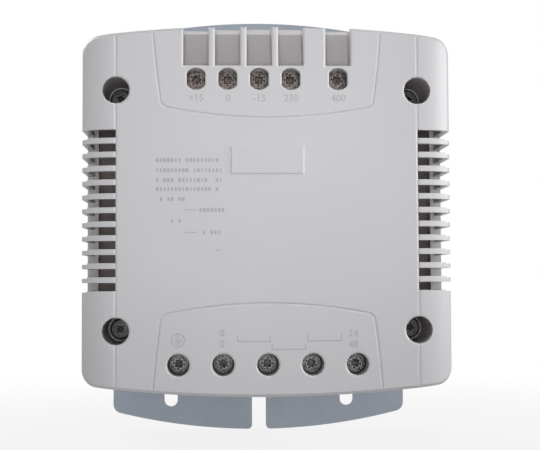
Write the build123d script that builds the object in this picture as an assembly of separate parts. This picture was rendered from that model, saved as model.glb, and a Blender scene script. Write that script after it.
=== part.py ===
"""Panel mount control transformer, built around its laminated core.

Millimetres. X runs to the right, Z up, and the panel plane is Y = 0, so the front face looks toward -Y.
The origin is the centre of the four fixing slots.
"""
import os
from math import cos, radians, sin, sqrt, tan

from build123d import *

# Laminated core, cut in the usual shares of its width: a third to the centre limb, a sixth to each window,
# yoke and side limb
core_width = 141.0
stack = 66.0
bolt_inset_x = 9.5
bolt_inset_z = 10.25

# Room between the core and the cover, and between the coil and what is before and behind it
side_gap = 1.5
end_gap = 13.25
coil_side_gap = 2.0
coil_front_gap = 7.0
coil_back_gap = 6.0

# Moulded cover
wall = 3.0
crown = 5.0
corner_radius = 7.0
shoulder_radius = 22.0
edge_bevel = 1.2
crease_width = 1.4
crease_depth = 0.5
well_diameter = 11.0
well_wall = 2.0
well_floor = 2.5
rim_bevel = 0.7
bevel_slope = 55.0

# Side vents
vent_count = 12
vent_pitch = 5.6
vent_gap = 3.35
vent_depth = 26.0
vent_frame = 1.6
vent_frame_depth = 4.5
tip_reach = 2.3
tip_step = 0.5

# The two terminal covers let into the main cover, and the blank raised plate
panel_half_width = 46.4
panel_taper = 3.7
panel_bulge = 0.6
panel_reach = 37.5
panel_rise = 4.6
panel_corner = 3.0
groove_width = 1.2
groove_depth = 0.45
plate_width = 29.8
plate_height = 11.7
plate_lift = 0.7
plate_centre_z = 20.2

# Upper terminals: four in a row and one set apart, counted in pitches from the middle
primary_places = (-2.25, -1.25, -0.25, 0.75, 2.25)
primary_pitch = 12.8
primary_drop = 21.9
primary_hole_width = 7.5
primary_hole_height = 9.0
primary_bevel = 0.5
primary_screw_lift = 0.6
primary_head_depth = 7.0
primary_thread = 4.0
primary_head_diameter = 9.0
primary_head_height = 2.6
primary_wire_space = 2.2
channel_width = 10.2
channel_depth = 12.0
channel_length = 16.4
channel_floor = 2.5
channel_wall = 2.0
channel_lip = 1.0
channel_bevel = 0.7
rib_drop = 0.6
primary_margin = 2.5

# Lower terminals, evenly spaced, with wire entries in the underside
secondary_places = (-2, -1, 0, 1, 2)
secondary_pitch = 18.0
secondary_drop = 12.9
secondary_hole = 9.0
secondary_tube_wall = 1.5
secondary_tube_depth = 9.5
secondary_head_depth = 10.0
secondary_thread = 5.0
secondary_head_diameter = 8.0
secondary_head_height = 3.2
secondary_wire_space = 3.0
entry_width = 10.0
entry_height = 7.0
secondary_margin = 5.5

# Terminal plates, shared by both rows
press_thickness = 1.2
contact_thickness = 1.5
barrier_thickness = 1.6
press_margin = 0.6
contact_gap = 1.0
tail_length = 4.0
screw_bite = 6.0
recess_width = 1.1
recess_depth = 1.4
play = 0.3
clearance = 1.0

# Coil on its bobbin
bobbin_play = 0.5
bobbin_wall = 2.0
primary_share = 0.51
insulation_build = 0.8
wrap_build = 0.7
coil_corner = 1.0
flange_corner = 4.0
primary_wire = 1.6
secondary_wire = 2.6
lead_run = 14.0
lead_lay = 3.5
lead_gap = 0.1
strap_width = 6.0
strap_thickness = 0.8

# Core bolts
bolt_thread = 5.0
bolt_head_diameter = 8.5
bolt_head_height = 3.3
bolt_slot = 1.2
bolt_slot_depth = 1.6
washer_diameter = 10.0
washer_thickness = 1.0
nut_width = 8.0
nut_height = 4.0
bolt_end = 2.0
sleeve_wall = 0.6

# Folded steel feet
foot_thickness = 2.5
foot_bend = 2.5
foot_width = 146.0
foot_reach = 28.0
foot_rise = 9.4
foot_corner = 4.5
ear_height = 20.0
slot_pitch_x = 88.4
slot_width = 6.6
slot_length = 12.0
slot_reach = 10.5
notch_width = 7.0
notch_depth = 24.0
notch_corner = 2.2

# Sizes that follow from the ones above
centre_limb = core_width / 3
window = core_width / 6
yoke = core_width / 6
window_height = core_width / 2
core_height = window_height + 2 * yoke
case_width = core_width + 2 * (side_gap + wall)
case_height = core_height + 2 * (end_gap + wall)
bolt_x = core_width / 2 - bolt_inset_x
bolt_z = core_height / 2 - bolt_inset_z
coil_reach = window - coil_side_gap
core_back = -(coil_reach + coil_back_gap)
core_front = core_back - stack
core_middle = (core_front + core_back) / 2
coil_front = core_front - coil_reach
inner_front = coil_front - coil_front_gap
front = inner_front - wall
cover_back = -foot_thickness
primary_z = case_height / 2 - primary_drop
secondary_z = secondary_drop - case_height / 2
primary_x = [place * primary_pitch for place in primary_places]
secondary_x = [place * secondary_pitch for place in secondary_places]
channel_end = case_height / 2 - channel_length
corners = [(sx * bolt_x, sz * bolt_z) for sz in (1, -1) for sx in (-1, 1)]


def block(x0, x1, y0, y1, z0, z1):
    """A box between two corners."""
    middle = Pos((x0 + x1) / 2, (y0 + y1) / 2, (z0 + z1) / 2)
    return middle * Box(abs(x1 - x0), abs(y1 - y0), abs(z1 - z0))


def facing(y):
    """The plane at depth y whose local axes are X and Z, looking toward the front."""
    return Plane((0, y, 0), (1, 0, 0), (0, -1, 0))


def prism(sketch, y0, y1):
    """A sketch drawn in X and Z, drawn out between two depths."""
    return extrude(facing(y1) * sketch, amount=y1 - y0)


def stud(x, z, diameter, y0, y1, sides=8):
    """A bar along Y, many-sided in place of round: few sides for what lies inside, more for what shows."""
    return prism(Pos(x, z) * RegularPolygon(diameter / 2, sides), y0, y1)


def bevelled(mouth, width):
    """The cut that bevels a mouth in the front face: it narrows by the bevel's width and as much again."""
    return extrude(facing(front) * mouth, amount=-2 * width / tan(radians(bevel_slope)), taper=bevel_slope)


def bore(x, z, diameter, y1):
    """A hole from the front face, with a small bevel at its mouth."""
    mouth = Pos(x, z) * RegularPolygon(diameter / 2 + rim_bevel, 16)
    return stud(x, z, diameter, front - 1, y1, 16) + bevelled(mouth, rim_bevel)


def ring(x, z, outer, inner, y0, y1, sides=8):
    """A washer or sleeve along Y."""
    return stud(x, z, outer, y0, y1, sides) - stud(x, z, inner, y0, y1)


def group(solids):
    """Separate pieces of one kind that share a node."""
    return Compound(children=[solid.solid() for solid in solids])


# Cover: one skin for the outside and one for the inside, each the front section drawn out up and down
# and trimmed by the outline seen from the front.
def outline(inset):
    half = case_width / 2 - inset
    top = case_height / 2 - inset
    end = top - crown
    edges = [
        ThreePointArc((-half, end), (0, top), (half, end)),
        Line((half, end), (half, -end)),
        ThreePointArc((half, -end), (0, -top), (-half, -end)),
        Line((-half, -end), (-half, end)),
    ]
    face = make_face(edges)
    return fillet(face.vertices(), corner_radius - inset)


def skin(inset, back):
    half = case_width / 2 - inset
    radius = shoulder_radius - inset
    centre = front + shoulder_radius
    reach = half - bolt_x
    face_y = front + inset
    side_y = centre - sqrt(radius**2 - reach**2)
    mid_x = bolt_x + reach / 2
    mid_y = centre - sqrt(radius**2 - (reach / 2) ** 2)
    section = make_face(
        [
            Line((-half, back), (-half, side_y)),
            ThreePointArc((-half, side_y), (-mid_x, mid_y), (-bolt_x, face_y)),
            Line((-bolt_x, face_y), (bolt_x, face_y)),
            ThreePointArc((bolt_x, face_y), (mid_x, mid_y), (half, side_y)),
            Line((half, side_y), (half, back)),
            Line((half, back), (-half, back)),
        ]
    )
    return extrude(section, amount=case_height, both=True) & prism(outline(inset), front - 1, back)


outside = skin(0, cover_back)
rim = [
    edge
    for edge in outside.edges()
    if edge.center().Y < front + shoulder_radius / 2 and abs(abs(edge.center().X) - bolt_x) > 0.01
]
outside = chamfer(rim, edge_bevel)
inside = skin(wall, cover_back + 1)
shell = outside - inside


# The terminal covers fill two gaps in the shell, each from one edge of the face to a bowed line across it.
def panel_face(side):
    outer_z = side * (case_height / 2 + 2 * wall)
    corner_z = side * (panel_reach + panel_rise)
    outer_x = panel_half_width
    inner_x = panel_half_width - panel_taper
    mid_x = (outer_x + inner_x) / 2 + panel_bulge
    mid_z = (outer_z + corner_z) / 2
    face = make_face(
        [
            ThreePointArc((-outer_x, outer_z), (-mid_x, mid_z), (-inner_x, corner_z)),
            ThreePointArc((-inner_x, corner_z), (0, side * panel_reach), (inner_x, corner_z)),
            ThreePointArc((inner_x, corner_z), (mid_x, mid_z), (outer_x, outer_z)),
            Line((outer_x, outer_z), (-outer_x, outer_z)),
        ]
    )
    inner = [v for v in face.vertices() if abs(v.Y) < abs(outer_z) - wall]
    return fillet(inner, panel_corner)


def panel_groove(side):
    """A diamond drawn along a panel outline; its inner half bevels both edges of the seam."""
    edge_z = case_height / 2 + 2 * wall
    run = [edge for edge in panel_face(side).edges() if abs(edge.center().Y) < edge_z - 0.1]
    path = facing(front) * Wire(sorted(run, key=lambda edge: edge.center().X))
    start = path @ 0
    along = path % 0
    section = Plane(start, along.cross(Vector(0, 1, 0)), along)
    diamond = Polyline(
        (groove_width / 2, 0), (0, groove_depth), (-groove_width / 2, 0), (0, -groove_depth), close=True
    )
    return sweep(section * make_face(diamond), path=path)


channel_back = front + channel_depth
entry_y = front + secondary_head_depth + secondary_head_height + press_thickness + secondary_wire_space / 2
upper_back = channel_back + channel_floor
lower_back = entry_y + entry_height / 2 + wall
upper_zone = prism(panel_face(1), front - 1, upper_back)
lower_zone = prism(panel_face(-1), front - 1, lower_back)
cover = shell - upper_zone - lower_zone
upper_cover = shell & upper_zone
lower_cover = shell & lower_zone

# The blank plate stands proud of the face with sloping edges.
plate_face = Pos(0, plate_centre_z) * Rectangle(plate_width, plate_height)
cover += extrude(facing(front + 0.01) * plate_face, amount=plate_lift, taper=40)

# Vents run from the crease round the shoulder and along the side, to a thicker frame behind them. Each bar
# between them has a small step down at its tip.
vent_half = ((vent_count - 1) * vent_pitch + vent_gap) / 2 + wall
for side in (-1, 1):
    inner_x = side * (case_width / 2 - wall)
    vent_back = front + vent_depth
    frame = block(
        inner_x - side * vent_frame,
        inner_x + side * wall / 2,
        vent_back,
        vent_back + vent_frame_depth,
        -vent_half,
        vent_half,
    )
    cover += frame
    for number in range(vent_count):
        z = (number - (vent_count - 1) / 2) * vent_pitch
        cover -= block(
            side * bolt_x,
            side * case_width,
            front - 1,
            front + vent_depth,
            z - vent_gap / 2,
            z + vent_gap / 2,
        )
        cover -= block(
            side * (case_width / 2 - tip_reach),
            side * case_width,
            front - 1,
            front + vent_depth,
            z - vent_gap / 2 - tip_step,
            z,
        )

# Creases along the bolt lines are fine grooves, and so are the edges of the seams.
for side in (-1, 1):
    x = side * bolt_x
    crease = Polyline(
        (x - crease_width / 2, front),
        (x, front + crease_depth),
        (x + crease_width / 2, front),
        (x, front - crease_depth),
        close=True,
    )
    cover -= extrude(make_face(crease), amount=case_height, both=True)
upper_groove = panel_groove(1)
lower_groove = panel_groove(-1)
cover = cover - upper_groove - lower_groove
upper_cover -= upper_groove
lower_cover -= lower_groove

# Screw wells reach from the cover to the core, so the four bolts clamp the cover too.
wells = []
for x, z in corners:
    hole = bore(x, z, well_diameter, core_front - well_floor)
    cover -= hole
    well = stud(x, z, well_diameter + 2 * well_wall, inner_front, core_front, 12) & inside
    wells.append(well - hole - stud(x, z, bolt_thread + clearance, front, core_front + 1))

# Short tubes on the lower cover guide a screwdriver to the terminals; wires enter through its underside.
for x in secondary_x:
    tube = secondary_hole + 2 * secondary_tube_wall
    lower_cover += stud(x, secondary_z, tube, inner_front - wall / 2, front + secondary_tube_depth, 12)
for x in secondary_x:
    lower_cover -= bore(x, secondary_z, secondary_hole, front + secondary_tube_depth + 1)
    lower_cover -= block(
        x - entry_width / 2,
        x + entry_width / 2,
        entry_y - entry_height / 2,
        entry_y + entry_height / 2,
        -case_height / 2 - 1,
        crown + wall + 1 - case_height / 2,
    )

# The upper cover has a raised block behind its top edge. The wire channels are pockets in it, open at the
# front and the top, with a sloping lip that lifts the wires over the top edge.
channel_side = channel_width / 2 + channel_wall
pocket = block(
    primary_x[0] - channel_side,
    primary_x[-1] + channel_side,
    inner_front - wall / 2,
    upper_back,
    channel_end,
    case_height,
)
upper_cover += pocket & outside
for x in primary_x:
    access = []
    for grow in (0, primary_bevel):
        flats = Rectangle(primary_hole_width + 2 * grow, 2 * primary_hole_height)
        access.append(Pos(x, primary_z) * (RegularPolygon(primary_hole_height / 2 + grow, 16) & flats))
    upper_cover -= prism(access[0], front - 1, inner_front + 1)
    upper_cover -= bevelled(access[1], primary_bevel)
    x0 = x - channel_width / 2
    x1 = x + channel_width / 2
    upper_cover -= block(x0, x1, front - 1, channel_back, channel_end, case_height)
    mouth_low = channel_end - channel_bevel
    mouth_middle = Pos(x, (mouth_low + case_height) / 2)
    mouth = mouth_middle * Rectangle(channel_width + 2 * channel_bevel, case_height - mouth_low)
    upper_cover -= bevelled(mouth, channel_bevel)
    edge_z = case_height / 2 - crown * (x / (case_width / 2)) ** 2
    lip = make_face(
        Polyline(
            (channel_back, edge_z - wall),
            (channel_back, edge_z),
            (channel_back + channel_lip, edge_z + channel_lip),
            (upper_back, edge_z + channel_lip),
            (upper_back, edge_z - wall),
            close=True,
        )
    )
    upper_cover += extrude(Plane((x0, 0, 0), (0, 1, 0), (1, 0, 0)) * lip, amount=channel_width)

# The thin ribs between neighbouring channels stop a little short of the top edge.
for left, right in zip(primary_x, primary_x[1:]):
    if right - left < 2 * channel_width:
        x = (left + right) / 2
        top = case_height / 2 - crown * (x / (case_width / 2)) ** 2 - rib_drop
        upper_cover -= block(left, right, front - 1, channel_back, top, case_height)


# Feet: an ear clamped on the back of the yoke, a web that clears the coil and a flange on the panel.
def foot(side):
    half = foot_thickness / 2
    web_z = core_height / 2 - half
    tip = case_height / 2 + foot_reach
    fold = FilletPolyline(
        (core_back + half, core_height / 2 - ear_height),
        (core_back + half, web_z),
        (-half, web_z),
        (-half, case_height / 2),
        radius=foot_bend + half,
    )
    strip = extrude(Plane.YZ * trace(fold, foot_thickness), amount=core_width / 2, both=True)
    low = web_z + foot_bend + foot_thickness
    wide = foot_width / 2
    flange = make_face(
        [
            Line((-wide, low), (-wide, tip - foot_rise)),
            ThreePointArc((-wide, tip - foot_rise), (0, tip), (wide, tip - foot_rise)),
            Line((wide, tip - foot_rise), (wide, low)),
            Line((wide, low), (-wide, low)),
        ]
    )
    if side < 0:
        flange -= Pos(0, tip) * SlotOverall(2 * notch_depth, notch_width, rotation=90)
    flange = fillet([v for v in flange.vertices() if abs(v.X) > wide - 1], foot_corner)
    if side < 0:
        flange = fillet([v for v in flange.vertices() if v.Y > tip - 1], notch_corner)
    piece = strip + prism(flange, -foot_thickness, 0)
    for x in (-slot_pitch_x / 2, slot_pitch_x / 2):
        slot = Pos(x, case_height / 2 + slot_reach) * SlotOverall(slot_length, slot_width, rotation=90)
        piece -= prism(slot, -foot_thickness - 1, 1)
    for x in (-bolt_x, bolt_x):
        piece -= stud(x, bolt_z, bolt_thread + clearance, core_back - 1, core_back + foot_thickness + 1)
    return piece if side > 0 else mirror(piece, about=Plane.XY)


# Core: the E pack carries the coil and the I pack closes it across the top.
sleeve_diameter = bolt_thread + play + 2 * sleeve_wall
i_low = core_height / 2 - yoke
e_core = block(-core_width / 2, core_width / 2, core_front, core_back, -core_height / 2, i_low)
for side in (-1, 1):
    inner = side * centre_limb / 2
    outer = inner + side * window
    e_core -= block(inner, outer, core_front - 1, core_back + 1, i_low - window_height, i_low + 1)
i_core = block(-core_width / 2, core_width / 2, core_front, core_back, i_low, core_height / 2)
for x, z in corners:
    hole = stud(x, z, sleeve_diameter + play, core_front - 1, core_back + 1)
    if z > 0:
        i_core -= hole
    else:
        e_core -= hole


# Coil: rounded rectangular layers, each wound on the one before, so their corners grow rounder outward.
def rounded(width, depth, radius, steps=3):
    """A rectangle whose corners are turned in a few short flats."""
    points = []
    for quarter, (sx, sy) in enumerate(((1, 1), (-1, 1), (-1, -1), (1, -1))):
        for step in range(steps + 1):
            angle = radians(90 * (quarter + step / steps))
            x = sx * (width / 2 - radius) + radius * cos(angle)
            y = sy * (depth / 2 - radius) + radius * sin(angle)
            points.append((x, y))
    return make_face(Polyline(*points, close=True))


def layer(start, build, low, high):
    """One layer round the centre limb, from a distance off it to the next."""
    x = centre_limb + 2 * start
    y = stack + 2 * start
    radius = coil_corner + start - bobbin_play
    outer = rounded(x + 2 * build, y + 2 * build, radius + build)
    inner = rounded(x, y, radius)
    return extrude(Plane((0, core_middle, low)) * (outer - inner), amount=high - low)


coil_half = window_height / 2 - play
winding_half = coil_half - bobbin_wall
tube_top = bobbin_play + bobbin_wall
winding_room = coil_reach - tube_top - insulation_build - wrap_build
primary_build = primary_share * winding_room
secondary_build = winding_room - primary_build
flange = rounded(centre_limb + 2 * coil_reach, stack + 2 * coil_reach, flange_corner)
flange -= rounded(centre_limb + 2 * bobbin_play, stack + 2 * bobbin_play, coil_corner)
bobbin = layer(bobbin_play, bobbin_wall, -winding_half, winding_half)
bobbin += extrude(Plane((0, core_middle, winding_half)) * flange, amount=bobbin_wall)
bobbin += extrude(Plane((0, core_middle, -coil_half)) * flange, amount=bobbin_wall)
primary_winding = layer(tube_top, primary_build, -winding_half, winding_half)
insulation_start = tube_top + primary_build
insulation = layer(insulation_start, insulation_build, -winding_half, winding_half)
secondary_start = insulation_start + insulation_build
secondary_winding = layer(secondary_start, secondary_build, -winding_half, winding_half)
wrap = layer(secondary_start + secondary_build, wrap_build, -winding_half, winding_half)


# Terminals: a screw through a pressure plate into a contact plate, one set in each cell of a block.
def terminal_screw(x, z, head_y, thread, diameter, height, end_y, turn):
    screw = stud(x, z, diameter, head_y, head_y + height, 12) + stud(x, z, thread, head_y + height, end_y)
    slot = Pos(x, head_y, z) * Rot(0, turn, 0) * Box(2 * diameter, 2 * recess_depth, recess_width)
    return screw - slot


def drilled_plate(x, z, width, z0, z1, y0, y1, thread):
    return block(x - width / 2, x + width / 2, y0, y1, z0, z1) - stud(x, z, thread + play, y0 - 1, y1 + 1)


screw_turns = (24, 62, 15, 48, 35)
primary_axis = primary_z + primary_screw_lift
primary_head_y = front + primary_head_depth
primary_press_y = primary_head_y + primary_head_height
primary_contact_y = primary_press_y + press_thickness + primary_wire_space
primary_base_y = primary_contact_y + contact_thickness
primary_cell = primary_pitch - barrier_thickness
primary_top = channel_end - play
primary_low = primary_z - primary_hole_height / 2 - primary_margin
primary_screws = []
primary_press = []
primary_contacts = []
for x, turn in zip(primary_x, screw_turns):
    end_y = primary_base_y + screw_bite
    primary_screws.append(
        terminal_screw(
            x,
            primary_axis,
            primary_head_y,
            primary_thread,
            primary_head_diameter,
            primary_head_height,
            end_y,
            turn,
        )
    )
    half = primary_head_diameter / 2 + press_margin
    high = min(primary_axis + half, primary_top)
    press_y = primary_press_y + press_thickness
    primary_press.append(
        drilled_plate(
            x,
            primary_axis,
            2 * half,
            primary_axis - half,
            high,
            primary_press_y,
            press_y,
            primary_thread,
        )
    )
    low = primary_low - tail_length
    primary_contacts.append(
        drilled_plate(
            x,
            primary_axis,
            primary_cell - 2 * contact_gap,
            low,
            primary_top,
            primary_contact_y,
            primary_base_y,
            primary_thread,
        )
    )
primary_edge = primary_x[-1] + primary_pitch / 2 + barrier_thickness / 2
primary_block = block(-primary_edge, primary_edge, primary_base_y, core_front, primary_low, primary_top)
walls = sorted({x + side * primary_pitch / 2 for x in primary_x for side in (-1, 1)})
for x in walls:
    x0 = x - barrier_thickness / 2
    x1 = x + barrier_thickness / 2
    primary_block += block(x0, x1, inner_front + play, primary_base_y + 1, primary_low, primary_top)
for x in primary_x:
    bore_end = primary_base_y + screw_bite + clearance
    primary_block -= stud(x, primary_axis, primary_thread + play, primary_base_y - 1, bore_end)

secondary_head_y = front + secondary_head_depth
secondary_press_y = secondary_head_y + secondary_head_height
secondary_contact_y = secondary_press_y + press_thickness + secondary_wire_space
secondary_base_y = secondary_contact_y + contact_thickness
secondary_cell = secondary_pitch - barrier_thickness
secondary_edge = secondary_x[-1] + secondary_pitch / 2 + barrier_thickness / 2
secondary_low = crown * (secondary_edge / (case_width / 2)) ** 2 + wall + play - case_height / 2
secondary_top = secondary_z + secondary_hole / 2 + secondary_margin
tail_top = secondary_top + tail_length
secondary_screws = []
secondary_press = []
secondary_contacts = []
for x, turn in zip(secondary_x, reversed(screw_turns)):
    end_y = secondary_base_y + screw_bite
    secondary_screws.append(
        terminal_screw(
            x,
            secondary_z,
            secondary_head_y,
            secondary_thread,
            secondary_head_diameter,
            secondary_head_height,
            end_y,
            turn,
        )
    )
    half = secondary_head_diameter / 2 + press_margin
    press_y = secondary_press_y + press_thickness
    secondary_press.append(
        drilled_plate(
            x,
            secondary_z,
            2 * half,
            secondary_z - half,
            secondary_z + half,
            secondary_press_y,
            press_y,
            secondary_thread,
        )
    )
    secondary_contacts.append(
        drilled_plate(
            x,
            secondary_z,
            secondary_cell - 4 * contact_gap,
            secondary_z - half - contact_gap,
            tail_top,
            secondary_contact_y,
            secondary_base_y,
            secondary_thread,
        )
    )
secondary_block = block(
    -secondary_edge, secondary_edge, secondary_base_y, core_front, secondary_low, secondary_top
)
for number in range(len(secondary_x) + 1):
    x0 = secondary_x[0] + (number - 0.5) * secondary_pitch - barrier_thickness / 2
    x1 = x0 + barrier_thickness
    secondary_block += block(x0, x1, inner_front + play, secondary_base_y + 1, secondary_low, secondary_top)
for x in secondary_x:
    bore_end = secondary_base_y + screw_bite + clearance
    secondary_block -= stud(x, secondary_z, secondary_thread + play, secondary_base_y - 1, bore_end)


# Leads run up the front of the coil and lie on the tails of the contact plates.
def lead(x, wire, points):
    path = Polyline(*[(x, y, z) for y, z in points])
    section = Plane(path @ 0, (1, 0, 0), path % 0) * RegularPolygon(wire / 2, 6)
    return sweep(section, path=path, transition=Transition.RIGHT)


primary_leads = []
run_y = coil_front - primary_wire / 2 - lead_gap
rest_y = primary_contact_y - primary_wire / 2
lay_z = primary_low - lead_lay
for x in primary_x:
    points = [(run_y, coil_half - lead_run), (run_y, coil_half), (rest_y, lay_z), (rest_y, primary_low)]
    primary_leads.append(lead(x, primary_wire, points))
secondary_leads = []
run_y = coil_front - secondary_wire / 2 - lead_gap
rest_y = secondary_contact_y - secondary_wire / 2
lay_z = secondary_top + lead_lay
for x in secondary_x[1:]:
    points = [(run_y, lead_run - coil_half), (run_y, -coil_half), (rest_y, lay_z), (rest_y, secondary_top)]
    secondary_leads.append(lead(x, secondary_wire, points))

# The earth contact is tied to the core by a bent strap.
earth_x = secondary_x[0]
strap_back = core_front - strap_thickness / 2
strap_mid = secondary_base_y + strap_thickness / 2
strap_line = Polyline(
    (strap_mid, secondary_top),
    (strap_mid, tail_top),
    (strap_back, tail_top),
    (strap_back, tail_top + strap_width),
)
strap = extrude(
    Plane((earth_x, 0, 0), (0, 1, 0), (1, 0, 0)) * trace(strap_line, strap_thickness),
    amount=strap_width / 2,
    both=True,
)

# Core bolts clamp the wells, the packs and the ears of the feet together.
seat = core_front - well_floor
head_seat = seat - washer_thickness
ear_face = core_back + foot_thickness
nut_face = ear_face + washer_thickness
bolts = []
front_washers = []
sleeves = []
rear_washers = []
nuts = []
for x, z in corners:
    cut = head_seat - bolt_head_height
    bolt = stud(x, z, bolt_head_diameter, cut, head_seat, 12)
    bolt += stud(x, z, bolt_thread, head_seat, nut_face + nut_height + bolt_end)
    bolt -= Pos(x, cut, z) * Box(2 * bolt_head_diameter, 2 * bolt_slot_depth, bolt_slot)
    bolts.append(bolt)
    front_washers.append(ring(x, z, washer_diameter, bolt_thread + play, head_seat, seat, 12))
    sleeves.append(ring(x, z, sleeve_diameter, bolt_thread + play, core_front, core_back))
    rear_washers.append(ring(x, z, washer_diameter, bolt_thread + play, ear_face, nut_face, 12))
    hexagon = Pos(x, z) * RegularPolygon(nut_width / 2, 6, major_radius=False)
    nut = prism(hexagon, nut_face, nut_face + nut_height)
    nuts.append(nut - stud(x, z, bolt_thread + play, nut_face - 1, nut_face + nut_height + 1))

nodes = {
    "front_cover": cover,
    "upper_terminal_cover": upper_cover,
    "lower_terminal_cover": lower_cover,
    "screw_wells": group(wells),
    "top_foot": foot(1),
    "bottom_foot": foot(-1),
    "e_core": e_core,
    "i_core": i_core,
    "coil_bobbin": bobbin,
    "primary_winding": primary_winding,
    "winding_insulation": insulation,
    "secondary_winding": secondary_winding,
    "outer_wrap": wrap,
    "primary_terminal_block": primary_block,
    "primary_contacts": group(primary_contacts),
    "primary_pressure_plates": group(primary_press),
    "primary_screws": group(primary_screws),
    "secondary_terminal_block": secondary_block,
    "secondary_contacts": group(secondary_contacts),
    "secondary_pressure_plates": group(secondary_press),
    "secondary_screws": group(secondary_screws),
    "primary_leads": group(primary_leads),
    "secondary_leads": group(secondary_leads),
    "earth_strap": strap,
    "core_bolts": group(bolts),
    "bolt_washers": group(front_washers),
    "bolt_sleeves": group(sleeves),
    "nut_washers": group(rear_washers),
    "core_nuts": group(nuts),
}

os.makedirs("parts", exist_ok=True)
for name, shape in nodes.items():
    export_step(shape, f"parts/{name}.step")
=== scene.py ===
"""Looks of a panel mount transformer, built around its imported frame.

Metres. X runs to the right, Z up, the front of the cover looks toward -Y, and the panel plane is Y = 0.
"""
import math

import bmesh
import bpy
from mathutils import Euler, Matrix, Vector


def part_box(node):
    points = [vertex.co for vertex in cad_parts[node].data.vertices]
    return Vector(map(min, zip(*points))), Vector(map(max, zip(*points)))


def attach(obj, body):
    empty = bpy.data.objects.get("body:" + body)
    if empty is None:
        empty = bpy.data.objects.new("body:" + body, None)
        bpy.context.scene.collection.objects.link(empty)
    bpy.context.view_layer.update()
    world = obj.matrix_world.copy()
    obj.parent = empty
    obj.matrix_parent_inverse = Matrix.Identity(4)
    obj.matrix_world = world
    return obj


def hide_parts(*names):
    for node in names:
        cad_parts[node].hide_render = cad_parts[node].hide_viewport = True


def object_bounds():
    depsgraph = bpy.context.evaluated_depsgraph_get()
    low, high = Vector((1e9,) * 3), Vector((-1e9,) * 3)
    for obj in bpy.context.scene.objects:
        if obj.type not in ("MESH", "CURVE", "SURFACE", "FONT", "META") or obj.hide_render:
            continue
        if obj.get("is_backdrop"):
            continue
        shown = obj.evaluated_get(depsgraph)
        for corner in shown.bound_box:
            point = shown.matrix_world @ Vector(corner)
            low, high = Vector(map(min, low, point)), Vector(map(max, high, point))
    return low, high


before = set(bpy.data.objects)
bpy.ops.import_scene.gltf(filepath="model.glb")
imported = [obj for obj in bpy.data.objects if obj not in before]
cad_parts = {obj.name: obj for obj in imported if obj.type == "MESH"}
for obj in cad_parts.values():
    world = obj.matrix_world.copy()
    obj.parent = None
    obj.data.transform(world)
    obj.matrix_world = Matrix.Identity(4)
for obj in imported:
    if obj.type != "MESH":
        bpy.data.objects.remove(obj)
cad_low, cad_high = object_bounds()

# Core packs
# An E pack and an I pack of thin silicon steel sheets, punched, stacked and dipped in brown varnish. The cut
# edges show the sheets as fine lines across the depth, with varnish pooled unevenly over them.
MM = 0.001
wave_period = math.pi / 10  # metres from band to band in a Wave texture of scale 1
sheet_pitch = 1.0 * MM  # real sheets are 0.5 mm; drawn at twice that so that they show
pool_size = 14 * MM


def linear(code):
    """An sRGB hex colour as linear RGBA."""
    channels = [int(code[i : i + 2], 16) / 255 for i in (1, 3, 5)]
    return [c / 12.92 if c <= 0.04045 else ((c + 0.055) / 1.055) ** 2.4 for c in channels] + [1.0]


def add(tree, kind, inputs=None, **settings):
    """A node with its settings, and its inputs either set or linked to one socket or to several."""
    node = tree.nodes.new(kind)
    for name, value in settings.items():
        setattr(node, name, value)
    for key, value in (inputs or {}).items():
        sources = value if isinstance(value, tuple) else (value,)
        if isinstance(sources[0], bpy.types.NodeSocket):
            for source in sources:
                tree.links.new(source, node.inputs[key])
        else:
            node.inputs[key].default_value = value
    return node


def new_finish(name, **sockets):
    """A material with one Principled shader, whose even values are set on its own sockets."""
    material = bpy.data.materials.new(name)
    material.use_nodes = True
    tree = material.node_tree
    tree.nodes.clear()
    values = {key.replace("_", " "): value for key, value in sockets.items()}
    shader = add(tree, "ShaderNodeBsdfPrincipled", values)
    add(tree, "ShaderNodeOutputMaterial", {"Surface": shader.outputs["BSDF"]})
    place = add(tree, "ShaderNodeTexCoord").outputs["Object"]
    return material, tree, shader, place


def dress(material, *names):
    """Give CAD nodes their finish."""
    for name in names:
        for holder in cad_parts[name].material_slots:
            holder.material = material


varnished_steel, tree, shader, place = new_finish("varnished_core_steel", Metallic=0.55)
sheets = add(
    tree,
    "ShaderNodeTexWave",
    {
        "Vector": place,
        "Scale": wave_period / sheet_pitch,
        "Distortion": 0.6,
        "Detail": 1.0,
        "Detail Scale": 0.4,
    },
    bands_direction="Y",
)
pools = add(tree, "ShaderNodeTexNoise", {"Vector": place, "Scale": 1 / pool_size, "Detail": 4.0})
stain = add(
    tree,
    "ShaderNodeMix",
    {0: pools.outputs["Fac"], 6: linear("#544B4A"), 7: linear("#726765")},
    data_type="RGBA",
)
lines = add(
    tree,
    "ShaderNodeMix",
    {0: sheets.outputs["Fac"], 6: stain.outputs[2], 7: linear("#857A78")},
    data_type="RGBA",
)
tree.links.new(lines.outputs[2], shader.inputs["Base Color"])
gloss = add(tree, "ShaderNodeMapRange", {"Value": pools.outputs["Fac"], "To Min": 0.32, "To Max": 0.6})
tree.links.new(gloss.outputs["Result"], shader.inputs["Roughness"])
ridges = add(
    tree, "ShaderNodeBump", {"Height": sheets.outputs["Fac"], "Strength": 0.5, "Distance": 0.08 * MM}
)
tree.links.new(ridges.outputs["Normal"], shader.inputs["Normal"])
dress(varnished_steel, "e_core", "i_core")

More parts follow.
